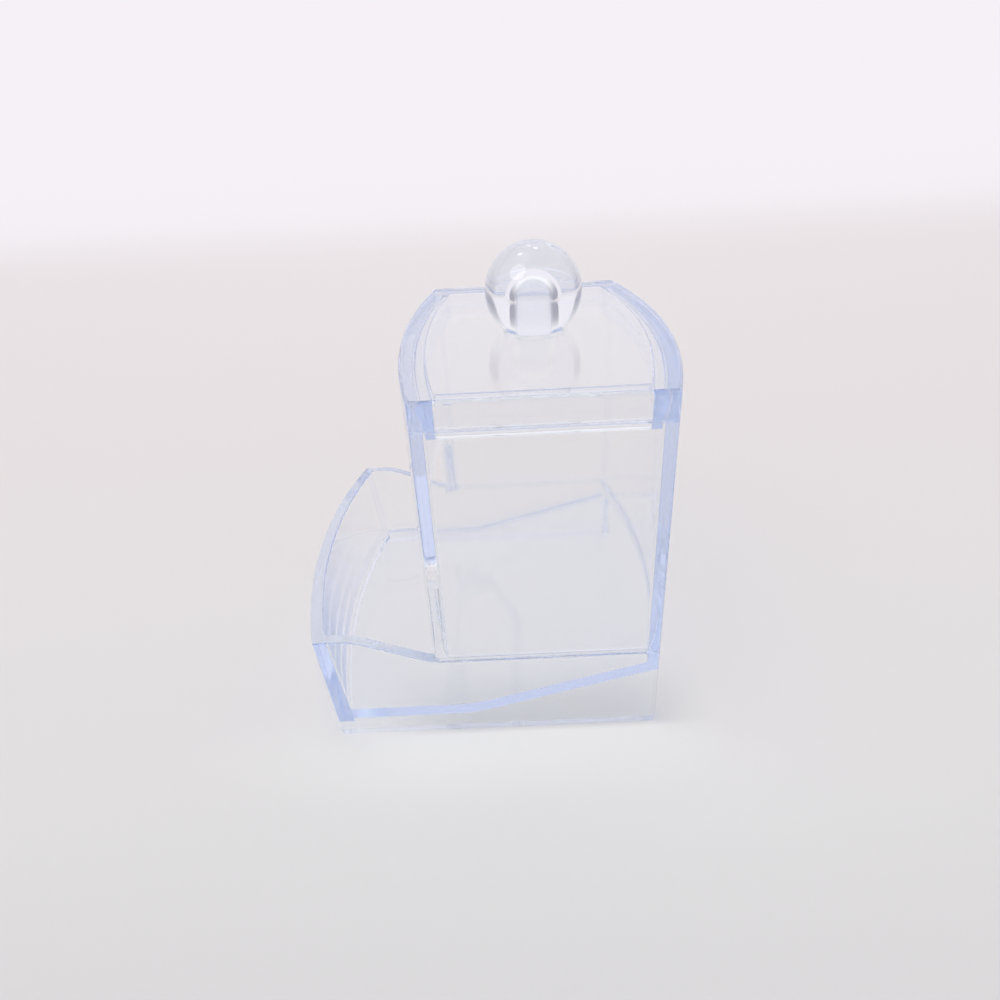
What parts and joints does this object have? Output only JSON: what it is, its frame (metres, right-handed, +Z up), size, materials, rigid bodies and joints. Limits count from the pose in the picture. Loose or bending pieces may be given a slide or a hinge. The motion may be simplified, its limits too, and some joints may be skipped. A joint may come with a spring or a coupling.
{
  "type": "cotton swab dispenser",
  "caption": "Clear plastic dispenser: cotton swabs go in under a ball-knobbed lid, roll down a ramp through a window in the tower and are picked from an open tray.",
  "frame": {"origin": "on the ground under the middle of the object's bounding box", "axes": "+Z up, +X from the tray towards the tower, +Y from the near side panel towards the far one, along the swabs' length"},
  "size_m": [0.0892, 0.084, 0.1041],
  "materials": {
    "base_plastic": "clear, polished, slightly blue",
    "tower_plastic": "clear, polished, slightly blue",
    "lid_plastic": "clear, polished, slightly blue",
    "knob_plastic": "clear, polished, slightly blue"
  },
  "bodies": {
    "dispenser": {"base_tray": "base_plastic", "swab_tower": "tower_plastic"},
    "lid": {"lid": "lid_plastic", "lid_knob": "knob_plastic"}
  },
  "joints": [
    {"name": "lid_lift", "type": "slide", "parent": "dispenser", "child": "lid", "axis": [0, 0, 1], "range_m": [0, 0.03]}
  ]
}
